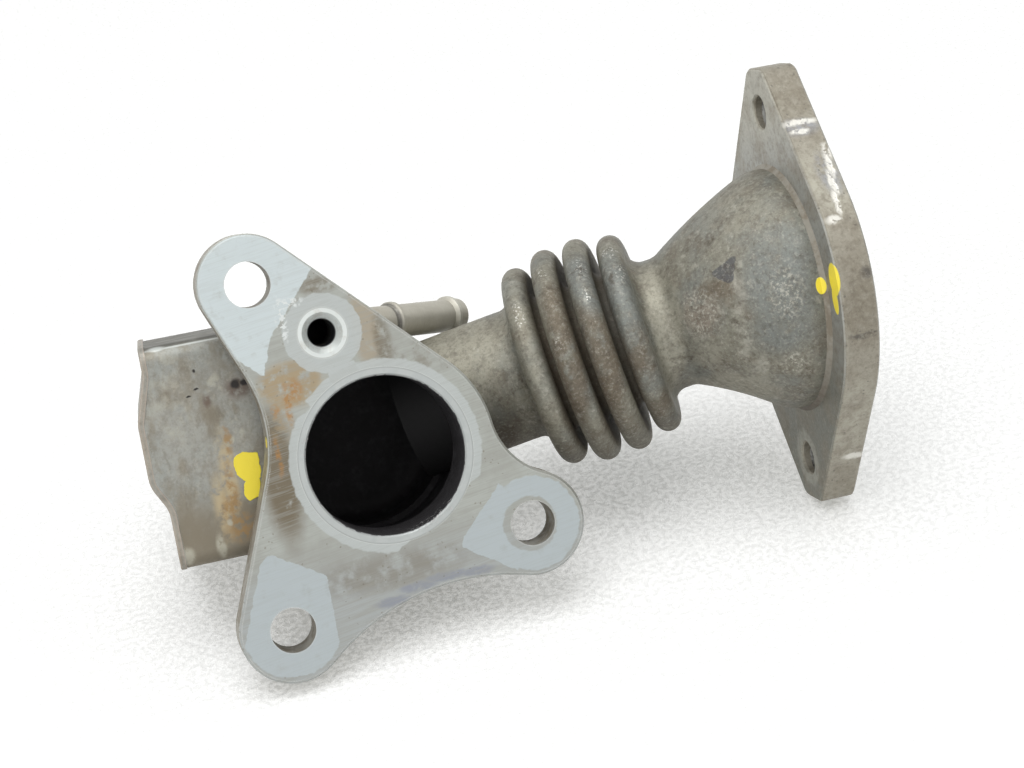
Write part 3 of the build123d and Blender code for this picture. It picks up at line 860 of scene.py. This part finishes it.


# bellows pipe: beige and grey-blue heat tint, brown in the grooves as painted shade and grime, painted shade
# on the undersides, pale salts on the flare
bellowsPipe = {
    "beige": tone(134, 132, 119),
    "paleBeige": tone(161, 158, 143),
    "blueGrey": tone(120, 124, 120),
    "brown": tone(108, 98, 83),
    "deepBrown": tone(72, 63, 52),
    "blueBlack": tone(72, 74, 80),
    "deepSoot": tone(20, 19, 20),
    "cream": tone(186, 184, 172),
    "pinkish": tone(144, 134, 121),
    "bright": tone(214, 213, 205),
    "axisStart": (89.9, 10.2, 17.1),
    "axis": (-0.94042, 0.30097, -0.15819),
    "chamberPlace": [((0, 31, 0), (20.4, 99, 20.4), 0.02)],
    "chamberDepth": (10.8, 51.2),
    "clouds": [
        ("blueGrey", 0.7, 13, 0.42, 0.62, 1, 0.5),
        ("brown", 0.5, 4, 0.46, 0.64, 2, 0.6),
        ("pinkish", 0.25, 2.2, 0.54, 0.68, 5, 0.58),
    ],
    "hollowShadeAndGrime": ("brown", 0.6, 0.009, 0.6, 0.15, 0.65, 0.3),
    "skin": {"Coarse": 0.07, "Fine": 0.045},
    "zones": [
        ("paleBeige", 0.9, 5, 0.26, 0.5, 0.55, [((21, 22, 16), (9, 14, 14), 0.3)]),
        ("paleBeige", 0.4, 6, 0.3, 0.54, 0.55, [((34, 10, 12), (4.2, 16, 24), 0.3)]),
        ("brown", 0.85, 3, 0.3, 0.52, 0.6, [
            ((40.5, 7, 12), (3.2, 14, 16), 0.3), ((47.5, 3, 12), (3.4, 12, 17), 0.4),
        ]),
        ("blueGrey", 0.9, 5, 0.26, 0.5, 0.5, [
            ((53.5, 4, 20), (4, 10, 9), 0.4), ((47.5, 7, 25), (3.6, 10, 7), 0.4),
        ]),
        ("brown", 0.75, 3, 0.36, 0.54, 0.6, [
            ((54, 0, 9), (3, 5, 6), 0.5), ((58.5, 4, -2), (3.5, 7, 4), 0.5),
        ]),
        ("brown", 0.8, 2.6, 0.34, 0.52, 0.6, [((47, 1, 4.6), (2, 4, 3.4), 0.5)]),
        ("paleBeige", 0.9, 4, 0.25, 0.48, 0.5, [((62.2, 7, 14), (3.4, 9, 16), 0.3)]),
        ("blueGrey", 0.9, 6, 0.24, 0.48, 0.5, [
            ((82, -11, 19), (7, 9, 9.5), 0.4), ((81, -10, 10), (5.5, 8, 5), 0.5),
        ]),
        ("paleBeige", 0.45, 5, 0.3, 0.52, 0.55, [
            ((79, -1, 33.8), (7.5, 10, 5), 0.4), ((68, 1.5, 7), (3.4, 6, 3.6), 0.5),
        ]),
        # pale patch on the flare's low part: painted light thrown up from the floor
        ("paleBeige", 0.8, 5, 0.26, 0.5, 0.55, [((74, 3, -3.5), (9, 12, 5.5), 0.4)]),
        ("pinkish", 0.7, 2, 0.36, 0.54, 0.6, [((68, -1, 15.2), (3.4, 5, 4), 0.5)]),
        ("brown", 0.75, 2, 0.34, 0.52, 0.6, [((71, -4, 19.8), (3.6, 5, 1.8), 0.5)]),
        ("cream", 0.4, 2, 0.36, 0.56, 0.5, [
            ((74.6, -7.6, 19), (1.1, 4, 3.2), 0.4), ((73.8, -6.9, 13), (1.1, 4, 3.6), 0.4),
            ((74.4, -5.4, 8), (1.2, 4, 3), 0.4), ((77.5, -4.2, 2.5), (1.6, 4, 2.2), 0.4),
        ]),
        ("cream", 0.85, 0.6, 0.5, 0.6, 0.7, [
            ((82.6, -12.6, 17), (3, 5, 5.2), 0.5), ((83.2, -8.7, 2.5), (2.4, 5, 2.4), 0.5),
            ((68, -1, 15.2), (3.6, 5, 4.4), 0.5),
        ]),
    ],
    "darkPatch": [(75.8, 26.2), (70.4, 22.9), (73.6, 20.2)],
    # bright glints on the rolls' upper sides: painted highlights of the overhead lamp
    "paintedHighlights": [
        ((33.4, 10, 22), (1, 3, 3.2), 0.6), ((40.2, 12, 28.8), (1, 3, 1.6), 0.5),
        ((39.2, 3, 14.6), (0.7, 3, 1.4), 0.5), ((47.4, 8, 28.4), (1.1, 5, 2.2), 0.5),
        ((46.6, 3.4, 23.4), (0.7, 3, 1.6), 0.5), ((54.6, 5, 26.4), (1.1, 3, 1.4), 0.5),
        ((54.6, 10, 30.4), (1.8, 3, 1.2), 0.5),
    ],
    "paintDot": [((89, -15.2, 17.1), (1, 1.8, 1.7), 0.06)],
}


def makeBellowsFinish():
    values = bellowsPipe
    finish, place, ragged = newFinish("heatTintedPipe", 0.4, 2.4, values, "beige", 0.55, 0.45)
    addClouds(finish, place, values["clouds"])
    addStains(finish, values["zones"])
    along = axes(place)["X"]
    # downward-facing surfaces darkened with deep brown: painted shade, strongest under the pipe and weaker
    # on the flare
    undersideShadeStrength = calc("MULTIPLY_ADD", ramp(along, 68, 60), 0.45, 0.2)
    coat(finish, product(facing(finish, (0, 0, -1), -0.1, 0.8), undersideShadeStrength), "deepBrown", 0.65)
    paintedShadeUnderPipe = product(ramp(along, 33, 29), facing(finish, (0, 0, -1), -0.35, 0.45), 0.8)
    coat(finish, paintedShadeUnderPipe, "deepBrown", 0.65)
    across = ramp(axes(place)["Y"], 1, -1)
    darkPatch = product(area(ragged, values["darkPatch"], 0.25), across, 0.75)
    coat(finish, darkPatch, "blueBlack", 0.5)
    addGrain(finish, "deepBrown", "cream", 0.34)
    # painted shade and grime in hollows
    addHollowShadeAndGrime(finish)
    drips = product(mottle(place, 2.6, 0.54, 0.66, 6), mottle(place, 9, 0.5, 0.6, 7), 0.6)
    coat(finish, drips, "deepBrown", 0.55)
    # painted highlights on the rolls
    paintedHighlightMask = product(spots(ragged, values["paintedHighlights"]), mottle(place, 0.45, 0.54, 0.61, 10), 0.8)
    coat(finish, paintedHighlightMask, "bright", 0.22, 0.8)
    paint = spots(place, values["paintDot"])
    addPaint(finish, paint)
    addSoot(finish, tubeInside(finish, values["axisStart"], values["axis"]))
    inChamber = product(spots(place, values["chamberPlace"]), depthBand(place, *values["chamberDepth"]))
    coat(finish, inChamber, "deepSoot", 0.8, 0)
    skin = skinHeight(finish)
    return finishShader(finish, heights((skin, 1), (paint, yellowPaint["thickness"])))


# weld round the flare
coneWeld = {
    "steel": tone(148, 144, 133),
    "brown": tone(124, 114, 98),
    "dark": tone(74, 64, 54),
    "clouds": [("brown", 0.8, 3.5, 0.44, 0.62, 1, 0.6)],
    "hollowShadeAndGrime": ("dark", 0.6, 0.004, 0.8, 0.4, 0.7, 0.4),
    "skin": {"Coarse": 0.05, "Fine": 0.02},
    "ripplesPerMillimetre": 1.1,
    "rippleHeight": 0.12,
}


def makeWeldFinish():
    values = coneWeld
    finish, place, _ = newFinish("coneWeld", 0.3, 2, values, "steel", 0.52, 0.5)
    addClouds(finish, place, values["clouds"])
    # darker on downward-facing surfaces: painted shade
    coat(finish, product(facing(finish, (0, 0, -1), -0.15, 0.75), 0.8), "dark", 0.65)
    # painted shade and grime in hollows
    addHollowShadeAndGrime(finish)
    paint = spots(place, bellowsPipe["paintDot"])
    addPaint(finish, paint)
    feeds = {"Vector": place, "Scale": values["ripplesPerMillimetre"], "Detail": 2}
    ripples = put(finish["tree"], "TexNoise", feeds).outputs[0]
    skin = skinHeight(finish)
    relief = heights((ripples, values["rippleHeight"]), (skin, 1), (paint, yellowPaint["thickness"]))
    return finishShader(finish, relief)


# exhaust flange: grey face, beige cut walls with rubbed and scraped edges
exhaustFlange = {
    "face": tone(168, 169, 164),
    "faceTip": tone(180, 178, 167),
    # darker tone for the face's low part: painted shade near the floor
    "faceShadedLow": tone(124, 125, 116),
    "brown": tone(140, 131, 115),
    "wall": tone(156, 151, 138),
    "wallPale": tone(178, 175, 161),
    "wallDark": tone(134, 127, 112),
    "deepBrown": tone(100, 91, 77),
    "stainAndShade": tone(84, 80, 76),
    "scrapeGrey": tone(150, 152, 156),
    "bright": tone(222, 220, 212),
    "holeRing": tone(176, 175, 164),
    "farFace": tone(164, 164, 158),
    "faceDepth": 90,
    "thickness": 7.5,
    "tipHeights": (40, 54),
    "faceShadeHeights": (6, -8),
    "clouds": [("brown", 0.5, 7, 0.42, 0.62, 1, 0.55)],
    "hollowShadeAndGrime": ("stainAndShade", 0.5, 0.005, 0.72, 0.35, 0.7, 0.3),
    "wear": ("wallPale", 0.5, 0.0005, 4, 0.4, 0.45, None),
    "skin": {"Coarse": 0.08, "Fine": 0.03},
    "boreReach": [((94, 10.1, 16.2), (99, 24.5, 24.5), 0.005)],
    "wallStains": [
        ("wallPale", 0.7, 5, 0.32, 0.56, 0.5, [((93.7, -14, 36), (6, 6, 10), 0.4)]),
        ("wallDark", 0.75, 3, 0.36, 0.56, 0.6, [
            ((93.7, -21, 14), (6, 5, 9), 0.5), ((93.7, 0, 54), (6, 8, 5), 0.5),
        ]),
        ("wallPale", 0.6, 4, 0.36, 0.58, 0.5, [((93.7, -8, -12), (6, 14, 12), 0.4)]),
        ("scrapeGrey", 0.8, 2, 0.3, 0.5, 0.4, [
            ((93, -7, 48.4), (4, 3, 1.8), 0.4), ((95, -14, 38.5), (2, 4, 5), 0.5),
        ]),
        ("stainAndShade", 0.8, 1.4, 0.34, 0.52, 0.5, [
            ((96.6, -22.2, 18.4), (1.6, 3, 1.2), 0.5), ((94.3, -20.7, 6.4), (3.2, 3, 0.6), 0.5),
        ]),
    ],
    "scrapes": [
        ((93.4, -6.9, 49.4), (3.6, 3, 0.6), 0.4), ((92.6, -8, 47.6), (2, 3, 0.5), 0.4),
        ((96.6, -11, 43), (1, 2.5, 1.6), 0.5), ((95.7, -13, 40), (0.7, 2.5, 3), 0.4),
        ((94.9, -15.3, 36.6), (0.7, 2.5, 3.2), 0.4), ((94.2, -17.6, 32.6), (0.6, 2.5, 2.8), 0.4),
        ((92.4, -18.6, 29.6), (1.6, 2.5, 0.8), 0.5), ((95.6, 0, -19.8), (2.6, 6, 0.6), 0.5),
    ],
    "paintDrip": [((90, -20.2, 18.2), (1, 2.4, 3.3), 0.05), ((90, -19.1, 14), (1, 1.4, 2.8), 0.05)],
    "holes": [((90, 6.7, 52.8), (1.2, 6, 6), 0.12), ((90, 13.5, -20.4), (1.2, 6, 6), 0.12)],
}


def makeExhaustFlangeFinish():
    values = exhaustFlange
    finish, place, ragged = newFinish("exhaustFlange", 0.35, 2, values, "face", 0.5, 0.55)
    parts = axes(place)
    near = values["faceDepth"]
    far = near + values["thickness"]
    nearFace = ramp(parts["X"], near + 0.35, near + 0.2)
    farFace = ramp(parts["X"], far - 0.35, far - 0.2)
    wall = invert(largest(nearFace, farFace))
    coat(finish, ramp(parts["Z"], *values["tipHeights"]), "faceTip")
    # the face darker towards the bottom: painted shade
    coat(finish, product(ramp(parts["Z"], *values["faceShadeHeights"]), 0.9), "faceShadedLow", 0.5)
    addClouds(finish, place, values["clouds"])
    for row in values["holes"]:
        coat(finish, product(spot(ragged, *row), nearFace, 0.6), "holeRing", 0.45)
    coat(finish, product(farFace, 0.7), "farFace", 0.45)
    coat(finish, wall, "wall", 0.55, 0.5)
    coat(finish, product(wall, mottle(place, 4.2, 0.44, 0.66, 3), 0.45), "wallDark", 0.6)
    addStains(finish, values["wallStains"], wall)
    addGrain(finish, "deepBrown", "wallPale", 0.3)
    coat(finish, product(speckle(place, 0.6, 0.03), 0.5), "stainAndShade", 0.7, 0.3)
    # painted shade and grime in hollows
    addHollowShadeAndGrime(finish)
    addWear(finish)
    scrapes = product(spots(ragged, values["scrapes"]), mottle(place, 0.9, 0.36, 0.48, 6), 0.85)
    coat(finish, scrapes, "bright", 0.3, 0.7)
    paint = spots(place, values["paintDrip"])
    addPaint(finish, paint)
    addSoot(finish, spots(place, values["boreReach"]))
    skin = skinHeight(finish)
    relief = heights((skin, 1), (scrapes, -0.08), (paint, yellowPaint["thickness"]))
    return finishShader(finish, relief)


threadFinish = {
    "steel": tone(122, 122, 118),
    "dark": tone(60, 58, 56),
    "skin": {"Coarse": 0.02, "Fine": 0.01},
}


def makeThreadFinish():
    values = threadFinish
    finish, place, _ = newFinish("threadSteel", 0.2, 1, values, "steel", 0.35, 0.85)
    coat(finish, mottle(place, 1.6, 0.45, 0.62, 1), "dark", 0.6, 0.5)
    return finishShader(finish, skinHeight(finish))


# CAD pieces keep their shape and take these finishes
def dress(node, material):
    for materialSlot in nodes[node].material_slots:
        materialSlot.material = material


chamberSteel = makeChamberFinish()
dress("valve_flange", makeValveFlangeFinish())
dress("gas_outlet_sleeve", makeGasSleeveFinish())
dress("coolant_port_bush", makePortBushFinish())
dress("coolant_tube", makeCoolantTubeFinish())
dress("chamber_front_tray", chamberSteel)
dress("chamber_back_pan", chamberSteel)
dress("chamber_end_cap", makeEndCapFinish())
dress("bellows_pipe", makeBellowsFinish())
dress("cone_weld", makeWeldFinish())
dress("exhaust_flange", makeExhaustFlangeFinish())
print("finishes on the CAD pieces")


def putInScene(name, data):
    placed = bpy.data.objects.new(name, data)
    bpy.context.collection.objects.link(placed)
    return placed


def meshPiece(name, mesh, material):
    data = bpy.data.meshes.new(name)
    mesh.to_mesh(data)
    mesh.free()
    data.materials.append(material)
    return putInScene(name, data)


# threads in the exhaust flange's two holes
flangeThread = {
    "pitch": 1.25,
    "crestRadius": 3.02,
    "rootRadius": 3.46,
    "crestShares": (0.44, 0.56),
    "stepsPerTurn": 40,
    "turns": 3.8,
}


def makeThread(name, mount, material):
    values = flangeThread
    unit = flangeView["millimetre"]
    axis = Vector(mount["axis"]).normalized()
    side = axis.orthogonal().normalized()
    start = Vector(mount["pos_m"]) - axis * values["pitch"] * (values["turns"] + 1) / 2 * unit
    mesh = bmesh.new()
    crests = [(values["crestRadius"], share) for share in values["crestShares"]]
    points = []
    for radius, share in ((values["rootRadius"], 0), *crests, (values["rootRadius"], 1)):
        place = start + side * radius * unit + axis * share * values["pitch"] * unit
        points.append(mesh.verts.new(place))
    edges = [mesh.edges.new(pair) for pair in zip(points, points[1:])]
    steps = int(values["stepsPerTurn"] * values["turns"])
    bmesh.ops.spin(
        mesh,
        geom=points + edges,
        cent=start,
        axis=axis,
        dvec=axis * values["pitch"] / values["stepsPerTurn"] * unit,
        angle=radians(360) * values["turns"],
        steps=steps,
        use_duplicate=False,
    )
    bmesh.ops.remove_doubles(mesh, verts=mesh.verts, dist=1e-6)
    bmesh.ops.recalc_face_normals(mesh, faces=mesh.faces)
    middle = mesh.faces[:][len(mesh.faces) // 2]
    inward = start - middle.calc_center_median()
    if middle.normal.dot(inward - axis * inward.dot(axis)) < 0:
        bmesh.ops.reverse_faces(mesh, faces=mesh.faces)
    piece = meshPiece(name, mesh, material)
    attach(piece, "root")
    for polygon in piece.data.polygons:
        polygon.use_smooth = False


# 1 for a ray from the camera or from a mirror or glass, 0 for light that falls on something
def seenRay(tree):
    path = put(tree, "LightPath").outputs
    return largest(path["Is Camera Ray"], path["Is Glossy Ray"], path["Is Transmission Ray"])


threadSteel = makeThreadFinish()
makeThread("upper_thread", mounts["exhaust_thread_upper"], threadSteel)
makeThread("lower_thread", mounts["exhaust_thread_lower"], threadSteel)
print("threads cut")

# floor: white foam sheet; part of its white is its own, so that shadows on it stay pale
floorSheet = {
    "halfWidth": 3,
    "colour": (0.80, 0.80, 0.80, 1),
    "shade": (0.77, 0.77, 0.77, 1),
    "own": (0.34, 0.345, 0.335, 1),
    "ownShade": (0.22, 0.225, 0.215, 1),
    "cellsPerMetre": 850,
    "cellDepth": 0.0005,
}


def makeFloor():
    values = floorSheet
    mesh = bmesh.new()
    bmesh.ops.create_grid(mesh, x_segments=2, y_segments=2, size=values["halfWidth"])
    material, tree, shader = newMaterial("foamSheet", {"Roughness": 0.75, "Specular IOR Level": 0.2})
    place = put(tree, "TexCoord").outputs["Object"]
    feeds = {"Vector": place, "Scale": values["cellsPerMetre"], "Detail": 3, "Roughness": 0.6}
    cells = put(tree, "TexNoise", feeds).outputs[0]
    patch = ramp(cells, 0.38, 0.6)
    for key, dark, light in (("Base Color", "shade", "colour"), ("Emission Color", "ownShade", "own")):
        feed(shader.inputs[key], blend(patch, values[dark], values[light]))
    feed(shader.inputs["Emission Strength"], seenRay(tree))
    bump = put(tree, "Bump", {"Height": cells, "Distance": values["cellDepth"], "Strength": 0.6})
    feed(shader.inputs["Normal"], bump.outputs[0])
    meshPiece("floor", mesh, material)


makeFloor()

# light: white room and soft lamps, the main one overhead
roomLight = {"strength": 0.52, "seen": 1}
lampAim = Vector((0, 0, 0.03))
lamps = {
    "overhead": {"place": (-0.1, -0.1, 1.1), "size": 1.1, "watts": 6.6},
    "rightSide": {"place": (1, -0.5, 0.7), "size": 0.8, "watts": 1.4},
    "leftSide": {"place": (-0.8, -0.8, 0.7), "size": 0.9, "watts": 2.6},
}


def makeRoom():
    world = bpy.data.worlds.new("whiteRoom")
    bpy.context.scene.world = world
    tree = emptyTree(world)
    feeds = {0: seenRay(tree), 2: roomLight["strength"], 3: roomLight["seen"]}
    strength = put(tree, "Mix", feeds, data_type="FLOAT").outputs[0]
    background = put(tree, "Background", {"Color": (1, 1, 1, 1), "Strength": strength})
    put(tree, "OutputWorld", {"Surface": background.outputs[0]})


def makeLamp(name, values):
    data = bpy.data.lights.new(name, "AREA")
    data.shape = "DISK"
    data.size = values["size"]
    data.energy = values["watts"]
    lamp = putInScene(name, data)
    lamp.location = values["place"]
    lamp.rotation_euler = (lampAim - Vector(values["place"])).to_track_quat("-Z", "Y").to_euler()


makeRoom()
for name, values in lamps.items():
    makeLamp(name, values)
print("floor and light made")

# camera: where the photograph was taken from, slightly tipped to the side as it was; place and
# directions are in the valve flange's view
view = {
    "place": (-59.2, -427.9, 50.3),
    "forward": (0.1975, 0.9757, -0.0945),
    "right": (0.9604, -0.2119, -0.181),
    "lens": 77.625,
    "sensor": 36,
    "nearest": 0.01,
    "farthest": 20,
}


def makeCamera():
    data = bpy.data.cameras.new("photoView")
    data.lens = view["lens"]
    data.sensor_width = view["sensor"]
    data.clip_start = view["nearest"]
    data.clip_end = view["farthest"]
    camera = putInScene("photoView", data)
    forward = (flangeMatrix @ Vector(view["forward"])).normalized()
    right = flangeMatrix @ Vector(view["right"])
    right = (right - forward * right.dot(forward)).normalized()
    up = right.cross(forward)
    turn = Matrix((right, up, -forward)).transposed()
    camera.matrix_world = Matrix.Translation(fromFlange(view["place"])) @ turn.to_4x4()
    bpy.context.scene.camera = camera


makeCamera()
bpy.context.scene.view_settings.view_transform = "Standard"

print("scene made")
